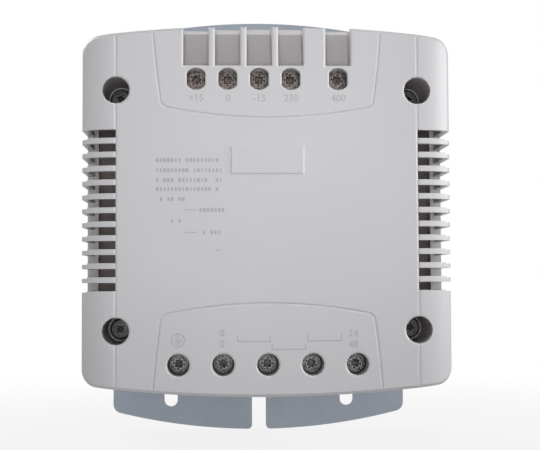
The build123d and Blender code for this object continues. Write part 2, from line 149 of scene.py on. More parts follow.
# Bobbin and screw wells
# Mouldings of glass-filled nylon: the black bobbin slips over the centre limb and holds the windings between
# its flanges, and four grey cups take the bolt heads. The cups' grey is darker than the cover's, painted
# shade for the deep wells. The glass gives a dull, faintly streaked surface.
glass_length = 6 * MM
glass_width = 0.8 * MM
for name, dark, light, node in (
    ("black_glass_filled_nylon", "#1B1B1D", "#2E2E31", "coil_bobbin"),
    ("shade_darkened_grey_nylon", "#A8A1A3", "#B2ABAD", "screw_wells"),
):
    nylon, tree, shader, place = new_finish(name, IOR=1.53)
    along_x = (1 / glass_length, 1 / glass_width, 1 / glass_width)
    fibres = add(tree, "ShaderNodeMapping", {"Vector": place, "Scale": along_x}).outputs["Vector"]
    streaks = add(tree, "ShaderNodeTexNoise", {"Vector": fibres, "Scale": 1.0, "Detail": 3.0})
    tone = add(
        tree,
        "ShaderNodeMix",
        {0: streaks.outputs["Fac"], 6: linear(dark), 7: linear(light)},
        data_type="RGBA",
    )
    tree.links.new(tone.outputs[2], shader.inputs["Base Color"])
    gloss = add(tree, "ShaderNodeMapRange", {"Value": streaks.outputs["Fac"], "To Min": 0.45, "To Max": 0.65})
    tree.links.new(gloss.outputs["Result"], shader.inputs["Roughness"])
    skin = add(
        tree, "ShaderNodeBump", {"Height": streaks.outputs["Fac"], "Strength": 0.25, "Distance": 0.05 * MM}
    )
    tree.links.new(skin.outputs["Normal"], shader.inputs["Normal"])
    dress(nylon, node)

# Windings
# Enamelled copper wire laid turn beside turn round the bobbin, thin for the supply side and thicker for the
# output side, soaked in varnish. Each turn is a ridge and the varnish browns the copper.
soak_size = 18 * MM
for node, wire in (("primary_winding", 1.6 * MM), ("secondary_winding", 2.6 * MM)):
    copper, tree, shader, place = new_finish("enamelled_copper_" + node.split("_")[0], Metallic=0.9)
    turns = add(
        tree,
        "ShaderNodeTexWave",
        {"Vector": place, "Scale": wave_period / wire, "Distortion": 0.3, "Detail": 1.0, "Detail Scale": 0.2},
        bands_direction="Z",
    )
    soak = add(tree, "ShaderNodeTexNoise", {"Vector": place, "Scale": 1 / soak_size, "Detail": 4.0})
    tone = add(
        tree,
        "ShaderNodeMix",
        {0: soak.outputs["Fac"], 6: linear("#7A3F22"), 7: linear("#A85C34")},
        data_type="RGBA",
    )
    shadow = add(
        tree,
        "ShaderNodeMix",
        {0: turns.outputs["Fac"], 6: linear("#3A1E12"), 7: tone.outputs[2]},
        data_type="RGBA",
    )
    tree.links.new(shadow.outputs[2], shader.inputs["Base Color"])
    gloss = add(tree, "ShaderNodeMapRange", {"Value": soak.outputs["Fac"], "To Min": 0.25, "To Max": 0.45})
    tree.links.new(gloss.outputs["Result"], shader.inputs["Roughness"])
    ridges = add(
        tree, "ShaderNodeBump", {"Height": turns.outputs["Fac"], "Strength": 0.9, "Distance": wire / 4}
    )
    tree.links.new(ridges.outputs["Normal"], shader.inputs["Normal"])
    dress(copper, node)

# Layer insulation and outer wrap
# Amber polyester film lies between the windings, and brown varnished tape is wound round the finished coil
# with its turns overlapping by half. Each lap stands a little proud of the next, so its edge shows, and each
# band is painted darker toward one end, a painted shade that marks the laps.
tape_width = 25 * MM
lap_pitch = tape_width / 2
lap_rise = 0.3 * MM
weave_size = 5 * MM
for node, name, dark, light, band in (
    ("winding_insulation", "polyester_film", "#B08E4A", "#CDB070", tape_width),
    ("outer_wrap", "varnished_tape", "#5B4026", "#7C5A38", lap_pitch),
):
    film, tree, shader, place = new_finish(name, IOR=1.6, Coat_Weight=0.3, Coat_Roughness=0.25)
    bands = add(
        tree,
        "ShaderNodeTexWave",
        {"Vector": place, "Scale": wave_period / band},
        bands_direction="Z",
        wave_profile="SAW",
    )
    weave = add(tree, "ShaderNodeTexNoise", {"Vector": place, "Scale": 1 / weave_size, "Detail": 6.0})
    tone = add(
        tree, "ShaderNodeMix", {0: weave.outputs["Fac"], 6: linear(dark), 7: linear(light)}, data_type="RGBA"
    )
    # Each band is painted darker toward one end: painted shade that makes the lap edges show.
    edge = add(
        tree,
        "ShaderNodeMix",
        {0: bands.outputs["Fac"], 6: tone.outputs[2], 7: linear("#D8D4CC")},
        data_type="RGBA",
        blend_type="MULTIPLY",
    )
    tree.links.new(edge.outputs[2], shader.inputs["Base Color"])
    gloss = add(tree, "ShaderNodeMapRange", {"Value": weave.outputs["Fac"], "To Min": 0.35, "To Max": 0.6})
    tree.links.new(gloss.outputs["Result"], shader.inputs["Roughness"])
    cloth = add(
        tree, "ShaderNodeBump", {"Height": weave.outputs["Fac"], "Strength": 0.3, "Distance": 0.1 * MM}
    )
    tree.links.new(cloth.outputs["Normal"], shader.inputs["Normal"])
    dress(film, node)

wrap_corner = 22.0 * MM
corner_steps = 14
crease = math.radians(35)  # edges that turn by more than this stay sharp
wrap_low, wrap_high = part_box("outer_wrap")
wrap_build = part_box("secondary_winding")[0][0] - wrap_low[0]
wrap_middle = [(low + high) / 2 for low, high in zip(wrap_low, wrap_high)]
straight_x = wrap_high[0] - wrap_middle[0] - wrap_corner
straight_y = wrap_high[1] - wrap_middle[1] - wrap_corner
wrap_mesh = bmesh.new()


def wrap_ring(sunk, z):
    """Points round the coil at one height, sunk under its outer face by some depth."""
    ring = []
    for quarter, (side_x, side_y) in enumerate(((1, 1), (-1, 1), (-1, -1), (1, -1))):
        for step in range(corner_steps + 1):
            angle = math.radians(90 * (quarter + step / corner_steps))
            x = wrap_middle[0] + side_x * straight_x + (wrap_corner - sunk) * math.cos(angle)
            y = wrap_middle[1] + side_y * straight_y + (wrap_corner - sunk) * math.sin(angle)
            ring.append(wrap_mesh.verts.new((x, y, z)))
    return ring


# The outer face goes up lap by lap, and the inner face comes straight down.
first_lap = math.ceil(wrap_low[2] / lap_pitch)
last_lap = math.floor(wrap_high[2] / lap_pitch)
between = [lap * lap_pitch for lap in range(first_lap, last_lap + 1)]
lap_edges = [wrap_low[2]] + between + [wrap_high[2]]
rings = []
for lower, upper in zip(lap_edges, lap_edges[1:]):
    rings += [wrap_ring(lap_rise, lower), wrap_ring(0.0, upper)]
rings += [wrap_ring(wrap_build, wrap_high[2]), wrap_ring(wrap_build, wrap_low[2])]
for first, second in zip(rings, rings[1:] + rings[:1]):
    for i in range(len(first)):
        j = (i + 1) % len(first)
        wrap_mesh.faces.new((first[i], first[j], second[j], second[i])).smooth = True
bmesh.ops.recalc_face_normals(wrap_mesh, faces=wrap_mesh.faces)
taped = bpy.data.meshes.new("tape_wrap")
wrap_mesh.to_mesh(taped)
wrap_mesh.free()
taped.set_sharp_from_angle(angle=crease)
taped.materials.append(film)
tape_wrap = bpy.data.objects.new("tape_wrap", taped)
bpy.context.collection.objects.link(tape_wrap)
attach(tape_wrap, "root")
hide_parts("outer_wrap")

# Terminal blocks
# Two dark grey phenolic mouldings behind the front face, one for each row, with a thin barrier between
# neighbouring terminals. Phenolic is hard and half glossy, with a faint mottle from its filler.
filler_size = 1.5 * MM
phenolic, tree, shader, place = new_finish("phenolic_moulding", IOR=1.6)
filler = add(tree, "ShaderNodeTexNoise", {"Vector": place, "Scale": 1 / filler_size, "Detail": 5.0})
tone = add(
    tree,
    "ShaderNodeMix",
    {0: filler.outputs["Fac"], 6: linear("#2A2A2C"), 7: linear("#414044")},
    data_type="RGBA",
)
tree.links.new(tone.outputs[2], shader.inputs["Base Color"])
gloss = add(tree, "ShaderNodeMapRange", {"Value": filler.outputs["Fac"], "To Min": 0.3, "To Max": 0.5})
tree.links.new(gloss.outputs["Result"], shader.inputs["Roughness"])
grain = add(
    tree, "ShaderNodeBump", {"Height": filler.outputs["Fac"], "Strength": 0.15, "Distance": 0.03 * MM}
)
tree.links.new(grain.outputs["Normal"], shader.inputs["Normal"])
dress(phenolic, "primary_terminal_block", "secondary_terminal_block")

# Contact and pressure plates
# Stamped plates under each terminal screw: the contacts are tin-plated brass, the pressure plates zinc-plated
# steel. Plating dulls them and the press leaves fine marks along their length.
mark_length = 6 * MM
mark_width = 0.5 * MM
for name, dark, light, rough, plates in (
    ("tin_plated_brass", "#8F8878", "#B7AF9C", 0.34, "contacts"),
    ("zinc_plated_plate", "#77746E", "#9A968F", 0.38, "pressure_plates"),
):
    plating, tree, shader, place = new_finish(name, Metallic=1.0)
    along_z = (1 / mark_width, 1 / mark_width, 1 / mark_length)
    drawn = add(tree, "ShaderNodeMapping", {"Vector": place, "Scale": along_z}).outputs["Vector"]
    marks = add(tree, "ShaderNodeTexNoise", {"Vector": drawn, "Scale": 1.0, "Detail": 3.0})
    tone = add(
        tree, "ShaderNodeMix", {0: marks.outputs["Fac"], 6: linear(dark), 7: linear(light)}, data_type="RGBA"
    )
    tree.links.new(tone.outputs[2], shader.inputs["Base Color"])
    gloss = add(
        tree,
        "ShaderNodeMapRange",
        {"Value": marks.outputs["Fac"], "To Min": rough - 0.08, "To Max": rough + 0.1},
    )
    tree.links.new(gloss.outputs["Result"], shader.inputs["Roughness"])
    scratch = add(
        tree, "ShaderNodeBump", {"Height": marks.outputs["Fac"], "Strength": 0.2, "Distance": 0.02 * MM}
    )
    tree.links.new(scratch.outputs["Normal"], shader.inputs["Normal"])
    dress(plating, "primary_" + plates, "secondary_" + plates)

# Terminal screws
# Five zinc-plated steel screws in each row, dulled in patches. The lower row has a darker copy of the finish,
# painted shade for its deeper holes, and the edges are painted lighter, a painted highlight. A cross recess
# widens to a square in the middle, and each was left at its own angle.
dulling_size = 1.2 * MM
highlight_width = 0.7 * MM
recess_shade_reach = 2.2 * MM
zinc_finishes = {}
for name, dark, light, highlight_colour in (
    ("zinc_plated_screw_steel", "#524947", "#9C918E", "#B8B0AD"),
    # The lower row's copy is darker: painted shade for its deeper holes.
    ("shaded_copy_zinc_plated_screw_steel", "#414143", "#8F8E8F", "#D2D1D2"),
    ("zinc_plated_bolt_steel", "#656566", "#828284", "#ACAAAB"),
):
    plated, tree, shader, place = new_finish(name, Metallic=1.0)
    dulling = add(tree, "ShaderNodeTexNoise", {"Vector": place, "Scale": 1 / dulling_size, "Detail": 5.0})
    patches = add(
        tree, "ShaderNodeMapRange", {"Value": dulling.outputs["Fac"], "From Min": 0.35, "From Max": 0.65}
    )
    tone = add(
        tree,
        "ShaderNodeMix",
        {0: patches.outputs["Result"], 6: linear(dark), 7: linear(light)},
        data_type="RGBA",
    )
    gloss = add(tree, "ShaderNodeMapRange", {"Value": dulling.outputs["Fac"], "To Min": 0.28, "To Max": 0.5})
    tree.links.new(gloss.outputs["Result"], shader.inputs["Roughness"])
    # Near the edges the colour is painted lighter: a painted highlight.
    soft_edge = add(tree, "ShaderNodeBevel", {"Radius": highlight_width}, samples=8)
    flat = add(tree, "ShaderNodeNewGeometry")
    flatness = add(
        tree,
        "ShaderNodeVectorMath",
        {0: soft_edge.outputs["Normal"], 1: flat.outputs["True Normal"]},
        operation="DOT_PRODUCT",
    )
    edge_highlight_mask = add(
        tree,
        "ShaderNodeMapRange",
        {"Value": flatness.outputs["Value"], "From Min": 0.9, "From Max": 0.99, "To Min": 1.0, "To Max": 0.0},
    )
    edge_highlighted = add(
        tree,
        "ShaderNodeMix",
        {0: edge_highlight_mask.outputs["Result"], 6: tone.outputs[2], 7: linear(highlight_colour)},
        data_type="RGBA",
    )
    # Painted shade: the recess is darkened where its own walls close round it.
    hollow = add(tree, "ShaderNodeAmbientOcclusion", {"Distance": recess_shade_reach}, samples=8, only_local=True)
    recess_shade_mask = add(
        tree,
        "ShaderNodeMapRange",
        {"Value": hollow.outputs["AO"], "From Min": 0.4, "From Max": 0.95, "To Min": 0.95, "To Max": 0.0},
    )
    recess_shaded = add(
        tree,
        "ShaderNodeMix",
        {0: recess_shade_mask.outputs["Result"], 6: edge_highlighted.outputs[2], 7: linear("#231E1E")},
        data_type="RGBA",
    )
    tree.links.new(recess_shaded.outputs[2], shader.inputs["Base Color"])
    grain = add(
        tree, "ShaderNodeBump", {"Height": dulling.outputs["Fac"], "Strength": 0.2, "Distance": 0.03 * MM}
    )
    tree.links.new(grain.outputs["Normal"], shader.inputs["Normal"])
    zinc_finishes[name] = plated

round_sides = 40
shank_sides = 24


def new_tree(name, sizes, counts=()):
    """A tree that takes places, sizes, counts and a finish."""
    tree = bpy.data.node_groups.new(name, "GeometryNodeTree")
    for in_out in ("INPUT", "OUTPUT"):
        tree.interface.new_socket("Geometry", in_out=in_out, socket_type="NodeSocketGeometry")
    for label in sizes:
        tree.interface.new_socket(label, in_out="INPUT", socket_type="NodeSocketFloat")
    for label in counts:
        tree.interface.new_socket(label, in_out="INPUT", socket_type="NodeSocketInt")
    tree.interface.new_socket("Finish", in_out="INPUT", socket_type="NodeSocketMaterial")
    return tree, add(tree, "NodeGroupInput").outputs


def end_tree(tree, instances, finish):
    """Make the copies real, give them their finish and hand them out."""
    real = add(tree, "GeometryNodeRealizeInstances", {"Geometry": instances})
    finished = add(
        tree, "GeometryNodeSetMaterial", {"Geometry": real.outputs["Geometry"], "Material": finish}
    )
    add(tree, "NodeGroupOutput", {"Geometry": finished.outputs["Geometry"]})


def lowered(tree, shape, depth):
    """A shape moved down its own axis."""
    drop = add(tree, "ShaderNodeMath", {0: depth, 1: -1.0}, operation="MULTIPLY")
    step = add(tree, "ShaderNodeCombineXYZ", {"Z": drop.outputs[0]})
    moved = add(tree, "GeometryNodeTransform", {"Geometry": shape, "Translation": step.outputs[0]})
    return moved.outputs["Geometry"]


def turned_bar(tree, radius, length, sides):
    """A bar whose top is at zero and whose axis is Z."""
    bar = add(tree, "GeometryNodeMeshCylinder", {"Vertices": sides, "Radius": radius, "Depth": length})
    middle = add(tree, "ShaderNodeMath", {0: length, 1: 0.5}, operation="MULTIPLY")
    return lowered(tree, bar.outputs["Mesh"], middle.outputs[0])


def bevelled_bar(tree, radius, length, sides, edge):
    """A bar with its top edge bevelled at 45 degrees: what lies in a cone is kept."""
    top = add(tree, "ShaderNodeMath", {0: radius, 1: edge}, operation="SUBTRACT")
    foot = add(tree, "ShaderNodeMath", {0: top.outputs[0], 1: length})
    cone = add(
        tree,
        "GeometryNodeMeshCone",
        {
            "Vertices": round_sides,
            "Radius Top": top.outputs[0],
            "Radius Bottom": foot.outputs[0],
            "Depth": length,
        },
    )
    kept = add(
        tree,
        "GeometryNodeMeshBoolean",
        {"Mesh 2": (turned_bar(tree, radius, length, sides), lowered(tree, cone.outputs["Mesh"], length))},
        operation="INTERSECT",
        solver="EXACT",
    )
    return kept.outputs["Mesh"]


screw_tree, given = new_tree(
    "pan_head_screws",
    (
        "Head Radius",
        "Head Height",
        "Head Edge",
        "Recess Length",
        "Recess Width",
        "Recess Square",
        "Recess Depth",
        "Shank Radius",
        "Length",
    ),
)
tree = screw_tree
head = bevelled_bar(tree, given["Head Radius"], given["Head Height"], round_sides, given["Head Edge"])
buried = add(tree, "ShaderNodeMath", {0: given["Head Height"], 1: 0.5}, operation="MULTIPLY").outputs[0]
free_length = add(tree, "ShaderNodeMath", {0: given["Length"], 1: buried}, operation="SUBTRACT").outputs[0]
shank = lowered(tree, turned_bar(tree, given["Shank Radius"], free_length, shank_sides), buried)
blank = add(
    tree, "GeometryNodeMeshBoolean", {"Mesh 2": (head, shank)}, operation="UNION", solver="EXACT"
)
# The cutters stand half out of the head. The square goes twice as deep as the cross.
square_height = add(tree, "ShaderNodeMath", {0: given["Recess Depth"], 1: 2.0}, operation="MULTIPLY")
cutters = []
for length, width, height in (
    (given["Recess Length"], given["Recess Width"], given["Recess Depth"]),
    (given["Recess Width"], given["Recess Length"], given["Recess Depth"]),
    (given["Recess Square"], given["Recess Square"], square_height.outputs[0]),
):
    size = add(tree, "ShaderNodeCombineXYZ", {"X": length, "Y": width, "Z": height})
    cutters.append(add(tree, "GeometryNodeMeshCube", {"Size": size.outputs[0]}).outputs["Mesh"])
screw = add(
    tree,
    "GeometryNodeMeshBoolean",
    {"Mesh 1": blank.outputs["Mesh"], "Mesh 2": tuple(cutters)},
    operation="DIFFERENCE",
    solver="EXACT",
)
facing_front = add(
    tree, "GeometryNodeTransform", {"Geometry": screw.outputs["Mesh"], "Rotation": (math.pi / 2, 0.0, 0.0)}
)
turn = add(tree, "GeometryNodeInputNamedAttribute", {"Name": "turn"}, data_type="FLOAT")
spin = add(tree, "ShaderNodeCombineXYZ", {"Y": turn.outputs["Attribute"]})
placed = add(
    tree,
    "GeometryNodeInstanceOnPoints",
    {
        "Points": given["Geometry"],
        "Instance": facing_front.outputs["Geometry"],
        "Rotation": add(tree, "FunctionNodeEulerToRotation", {0: spin.outputs[0]}).outputs[0],
    },
)
end_tree(tree, placed.outputs["Instances"], given["Finish"])


def made_by(tree, name, places, sizes, finish, turns=()):
    """The plain mesh that a tree makes at a set of places. Turns are in degrees."""
    seeds = bpy.data.meshes.new(name + "_places")
    seeds.from_pydata(places, [], [])
    if turns:
        angles = seeds.attributes.new("turn", "FLOAT", "POINT")
        angles.data.foreach_set("value", [math.radians(angle) for angle in turns])
    holder = bpy.data.objects.new(name + "_places", seeds)
    bpy.context.collection.objects.link(holder)
    modifier = holder.modifiers.new(name, "NODES")
    modifier.node_group = tree
    values = {**sizes, "Finish": finish}
    for item in tree.interface.items_tree:
        if item.in_out == "INPUT" and item.name in values:
            modifier[item.identifier] = values[item.name]
    depsgraph = bpy.context.evaluated_depsgraph_get()
    mesh = bpy.data.meshes.new_from_object(holder.evaluated_get(depsgraph), depsgraph=depsgraph)
    mesh.name = name
    bpy.data.objects.remove(holder)
    piece = bpy.data.objects.new(name, mesh)
    bpy.context.collection.objects.link(piece)
    return piece


upper_pitch = 12.8 * MM
lower_pitch = 18.0 * MM
upper_screw_x = [place * upper_pitch for place in (-2.25, -1.25, -0.25, 0.75, 2.25)]
lower_screw_x = [place * lower_pitch for place in (-2, -1, 0, 1, 2)]
for row, node, finish, columns, screw_turns, sizes in (
    (
        "upper_terminal_screws",
        "primary_screws",
        "zinc_plated_screw_steel",
        upper_screw_x,
        (35, 2, 6, 3, 12),
        {
            "Head Radius": 4.5 * MM,
            "Head Height": 2.6 * MM,
            "Head Edge": 0.4 * MM,
            "Recess Length": 5.2 * MM,
            "Recess Width": 1.2 * MM,
            "Recess Square": 3.3 * MM,
            "Recess Depth": 1.4 * MM,
            "Shank Radius": 2.0 * MM,
        },
    ),
    (
        "lower_terminal_screws",
        "secondary_screws",
        "shaded_copy_zinc_plated_screw_steel",
        lower_screw_x,
        (8, 30, 3, 25, 14),
        {
            "Head Radius": 4.0 * MM,
            "Head Height": 3.2 * MM,
            "Head Edge": 0.3 * MM,
            "Recess Length": 5.2 * MM,
            "Recess Width": 1.2 * MM,
            "Recess Square": 3.2 * MM,
            "Recess Depth": 1.6 * MM,
            "Shank Radius": 2.5 * MM,
        },
    ),
):
    low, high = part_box(node)
    row_z = (low[2] + high[2]) / 2
    sizes["Length"] = high[1] - low[1]
    places = [(x, low[1], row_z) for x in columns]
    screws = made_by(screw_tree, row, places, sizes, zinc_finishes[finish], screw_turns)
    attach(screws, "root")
    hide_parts(node)

# Leads and earth strap
# Tinned copper wires from the coil lie on the contact tails, and a bent tinned strip ties the earth contact
# to the core. Dipping leaves the tin uneven, so it is bright in places and grey in others.
dip_size = 2 * MM
tinned_copper, tree, shader, place = new_finish("tinned_copper", Metallic=1.0)
dips = add(tree, "ShaderNodeTexNoise", {"Vector": place, "Scale": 1 / dip_size, "Detail": 4.0})
tone = add(
    tree,
    "ShaderNodeMix",
    {0: dips.outputs["Fac"], 6: linear("#A98D78"), 7: linear("#C2BDB6")},
    data_type="RGBA",
)
tree.links.new(tone.outputs[2], shader.inputs["Base Color"])
gloss = add(tree, "ShaderNodeMapRange", {"Value": dips.outputs["Fac"], "To Min": 0.25, "To Max": 0.45})
tree.links.new(gloss.outputs["Result"], shader.inputs["Roughness"])
lumps = add(tree, "ShaderNodeBump", {"Height": dips.outputs["Fac"], "Strength": 0.3, "Distance": 0.05 * MM})
tree.links.new(lumps.outputs["Normal"], shader.inputs["Normal"])
dress(tinned_copper, "primary_leads", "secondary_leads", "earth_strap")

# Cover and terminal covers
# Injection mouldings in light grey polycarbonate. The tool was spark eroded, which leaves a fine even satin
# grain, and every edge has the small round that the tool gives it, painted lighter along it as a highlight.
cloud_size = 45 * MM
spark_size = 0.5 * MM  # the real grain is about 0.1 mm; drawn coarser so that it shows
tool_round = 0.35 * MM
grey_moulding, tree, shader, place = new_finish("moulded_polycarbonate", IOR=1.585)
cloud = add(tree, "ShaderNodeTexNoise", {"Vector": place, "Scale": 1 / cloud_size, "Detail": 2.0})
tone = add(
    tree,
    "ShaderNodeMix",
    {0: cloud.outputs["Fac"], 6: linear("#C2C1C4"), 7: linear("#C9C8CB")},
    data_type="RGBA",
)
spark = add(tree, "ShaderNodeTexNoise", {"Vector": place, "Scale": 1 / spark_size, "Detail": 2.0})
gloss = add(tree, "ShaderNodeMapRange", {"Value": spark.outputs["Fac"], "To Min": 0.32, "To Max": 0.44})
tree.links.new(gloss.outputs["Result"], shader.inputs["Roughness"])
round_edge = add(tree, "ShaderNodeBevel", {"Radius": tool_round}, samples=6)
flat = add(tree, "ShaderNodeNewGeometry")
flatness = add(
    tree,
    "ShaderNodeVectorMath",
    {0: round_edge.outputs["Normal"], 1: flat.outputs["True Normal"]},
    operation="DOT_PRODUCT",
)
# Within the round the colour is painted lighter: a painted highlight on every edge.
painted_edge_highlight = add(
    tree,
    "ShaderNodeMapRange",
    {
        "Value": flatness.outputs["Value"],
        "From Min": 0.92,
        "From Max": 0.985,
        "To Min": 0.75,
        "To Max": 0.0,
    },
)
pale = add(
    tree,
    "ShaderNodeMix",
    {0: painted_edge_highlight.outputs["Result"], 6: tone.outputs[2], 7: linear("#EAE9EC")},
    data_type="RGBA",
)
tree.links.new(pale.outputs[2], shader.inputs["Base Color"])
grain = add(
    tree,
    "ShaderNodeBump",
    {
        "Height": spark.outputs["Fac"],
        "Strength": 0.12,
        "Distance": 0.04 * MM,
        "Normal": round_edge.outputs["Normal"],
    },
)
tree.links.new(grain.outputs["Normal"], shader.inputs["Normal"])
dress(grey_moulding, "front_cover", "upper_terminal_cover", "lower_terminal_cover")

# Channel floor shade sheets
# A thin strip of darker grey lies on the floor of each wire channel in the upper terminal cover and ends
# below its lip. It is no part of the transformer but painted shade for the channel floors. It is matt, with
# faint streaks along its length.
shade_sheet_streak_length = 3 * MM
shade_sheet_streak_width = 0.4 * MM
channel_shade_finish, tree, shader, place = new_finish("channel_floor_shade", IOR=1.5)
along_z = (1 / shade_sheet_streak_width, 1 / shade_sheet_streak_width, 1 / shade_sheet_streak_length)
fibres = add(tree, "ShaderNodeMapping", {"Vector": place, "Scale": along_z}).outputs["Vector"]
grain = add(tree, "ShaderNodeTexNoise", {"Vector": fibres, "Scale": 1.0, "Detail": 3.0})
tone = add(
    tree,
    "ShaderNodeMix",
    {0: grain.outputs["Fac"], 6: linear("#A6A1A3"), 7: linear("#B0ABAD")},
    data_type="RGBA",
)
tree.links.new(tone.outputs[2], shader.inputs["Base Color"])
gloss = add(tree, "ShaderNodeMapRange", {"Value": grain.outputs["Fac"], "To Min": 0.6, "To Max": 0.75})
tree.links.new(gloss.outputs["Result"], shader.inputs["Roughness"])

shade_sheet_tree, given = new_tree("channel_shade_sheets", ("Width", "Thickness", "Length"))
tree = shade_sheet_tree
size = add(tree, "ShaderNodeCombineXYZ", {"X": given["Width"], "Y": given["Thickness"], "Z": given["Length"]})
strip = add(tree, "GeometryNodeMeshCube", {"Size": size.outputs[0]})
placed = add(
    tree, "GeometryNodeInstanceOnPoints", {"Points": given["Geometry"], "Instance": strip.outputs["Mesh"]}
)
end_tree(tree, placed.outputs["Instances"], given["Finish"])
face_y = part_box("upper_terminal_cover")[0][1]
channel_depth = 12.0 * MM
shade_sheet_gap = 0.05 * MM
shade_sheet_low = 58.8 * MM
shade_sheet = {"Width": 9.9 * MM, "Thickness": 0.2 * MM, "Length": 14.8 * MM}
shade_sheet_y = face_y + channel_depth - shade_sheet_gap - shade_sheet["Thickness"] / 2
shade_sheet_z = shade_sheet_low + shade_sheet["Length"] / 2
shade_sheets = made_by(
    shade_sheet_tree, "channel_shade_sheet_set", [(x, shade_sheet_y, shade_sheet_z) for x in upper_screw_x], shade_sheet, channel_shade_finish
)
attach(shade_sheets, "root")

# Print on the face
# Terminal numbers, an earth mark, link lines and rows of small type, pad printed in a thin grey ink that is
# only a little darker than the moulding. The rows of type are plain marks that stand for words.
ink_height = 0.03 * MM
stroke = 0.35 * MM
figure_size = 4.0 * MM
upper_figures_z = 45.2 * MM
wear_size = 0.8 * MM
pad_ink, tree, shader, place = new_finish("pad_printing_ink", IOR=1.5)
wear = add(tree, "ShaderNodeTexNoise", {"Vector": place, "Scale": 1 / wear_size, "Detail": 3.0})
tone = add(
    tree,
    "ShaderNodeMix",
    {0: wear.outputs["Fac"], 6: linear("#9D9CA1"), 7: linear("#B3B2B6")},
    data_type="RGBA",
)
tree.links.new(tone.outputs[2], shader.inputs["Base Color"])
gloss = add(tree, "ShaderNodeMapRange", {"Value": wear.outputs["Fac"], "To Min": 0.5, "To Max": 0.65})
tree.links.new(gloss.outputs["Result"], shader.inputs["Roughness"])

print_mesh = bmesh.new()


def lay_bar(x0, x1, z0, z1):
    """A printed bar on the face."""
    size = Matrix.Diagonal((x1 - x0, 2 * ink_height, z1 - z0, 1.0))
    middle = Matrix.Translation(((x0 + x1) / 2, face_y, (z0 + z1) / 2))
    bmesh.ops.create_cube(print_mesh, size=1.0, matrix=middle @ size)


def lay_figures(words, x, z):
    """Printed figures, made a mesh before they are put in place."""
    curve = bpy.data.curves.new("figures", "FONT")
    curve.body = words
    curve.size = figure_size
    curve.extrude = ink_height
    curve.resolution_u = 3
    curve.align_x = "CENTER"
    curve.align_y = "CENTER"
    holder = bpy.data.objects.new("figures", curve)
    bpy.context.collection.objects.link(holder)
    depsgraph = bpy.context.evaluated_depsgraph_get()
    mesh = bpy.data.meshes.new_from_object(holder.evaluated_get(depsgraph), depsgraph=depsgraph)
    upright = Matrix.Rotation(math.pi / 2, 4, "X")
    mesh.transform(Matrix.Translation((x, face_y, z)) @ upright)
    print_mesh.from_mesh(mesh)
    bpy.data.objects.remove(holder)
    bpy.data.curves.remove(curve)
    bpy.data.meshes.remove(mesh)


for words, x in zip(("+15", "0", "-15", "230", "400"), upper_screw_x):
    lay_figures(words, x, upper_figures_z)
for words, x, z in (("0", -18.4, -49.4), ("0", -18.4, -53.8), ("24", 34.2, -49.8), ("48", 34.2, -54.2)):
    lay_figures(words, x * MM, z * MM)

# Links join neighbouring lower terminals: a level line with an upturned end at each side.
for link in ((-12.4, 1.0, -52.9, 2.4), (1.3, 15.2, -56.1, 2.3), (15.6, 29.5, -52.8, 3.0)):
    left, right, level, rise = [measure * MM for measure in link]
    lay_bar(left, right, level, level + stroke)
    lay_bar(left, left + stroke, level + stroke, level + rise)
    lay_bar(right - stroke, right, level + stroke, level + rise)

# The earth mark is a ring with a stem and three bars.
earth_x = -36.1 * MM
earth_z = -52.1 * MM
ring_radius = 2.8 * MM
ring_steps = 40
stem_foot = 0.2 * MM
earth_bar = 0.3 * MM
ring_points = []
for step in range(ring_steps):
    angle = 2 * math.pi * step / ring_steps
    row = []
    for radius in (ring_radius, ring_radius - stroke):
        x = earth_x + radius * math.cos(angle)
        z = earth_z + radius * math.sin(angle)
        row += [print_mesh.verts.new((x, y, z)) for y in (face_y - ink_height, face_y + ink_height)]
    ring_points.append(row)
for step in range(ring_steps):
    a, b = ring_points[step], ring_points[(step + 1) % ring_steps]
    for i, j in ((0, 1), (1, 3), (3, 2), (2, 0)):
        print_mesh.faces.new((a[i], b[i], b[j], a[j]))
lay_bar(earth_x - stroke / 2, earth_x + stroke / 2, earth_z + stem_foot, earth_z + ring_radius - stroke)
for width, drop in ((3.6 * MM, 0.0), (2.4 * MM, 0.8 * MM), (1.2 * MM, 1.6 * MM)):
    level = earth_z - drop
    lay_bar(earth_x - width / 2, earth_x + width / 2, level - earth_bar / 2, level + earth_bar / 2)

# Rows of small type left of the middle: blocks of uneven width, with a gap here and there between words.
gap_chance = 0.16
narrowest_mark = 0.45  # as a share of the full width
row_tree, given = new_tree(
    "rows_of_marks", ("Pitch", "Mark Width", "Mark Height", "Ink Height"), ("Marks", "Seed")
)
tree = row_tree
step = add(tree, "ShaderNodeCombineXYZ", {"X": given["Pitch"]})
line = add(tree, "GeometryNodeMeshLine", {"Count": given["Marks"], "Offset": step.outputs[0]}, mode="OFFSET")
rows = add(
    tree, "GeometryNodeInstanceOnPoints", {"Points": given["Geometry"], "Instance": line.outputs["Mesh"]}
)
spots = add(tree, "GeometryNodeRealizeInstances", {"Geometry": rows.outputs["Instances"]})
gaps = add(tree, "FunctionNodeRandomValue", {6: gap_chance, 8: given["Seed"]}, data_type="BOOLEAN")
kept = add(
    tree, "GeometryNodeDeleteGeometry", {"Geometry": spots.outputs["Geometry"], "Selection": gaps.outputs[3]}
)
widths = add(
    tree, "FunctionNodeRandomValue", {2: narrowest_mark, 3: 1.0, 8: given["Seed"]}, data_type="FLOAT"
)
stretch = add(tree, "ShaderNodeCombineXYZ", {"X": widths.outputs[1], "Y": 1.0, "Z": 1.0})
depth = add(tree, "ShaderNodeMath", {0: given["Ink Height"], 1: 2.0}, operation="MULTIPLY").outputs[0]
size = add(tree, "ShaderNodeCombineXYZ", {"X": given["Mark Width"], "Y": depth, "Z": given["Mark Height"]})
mark = add(tree, "GeometryNodeMeshCube", {"Size": size.outputs[0]})
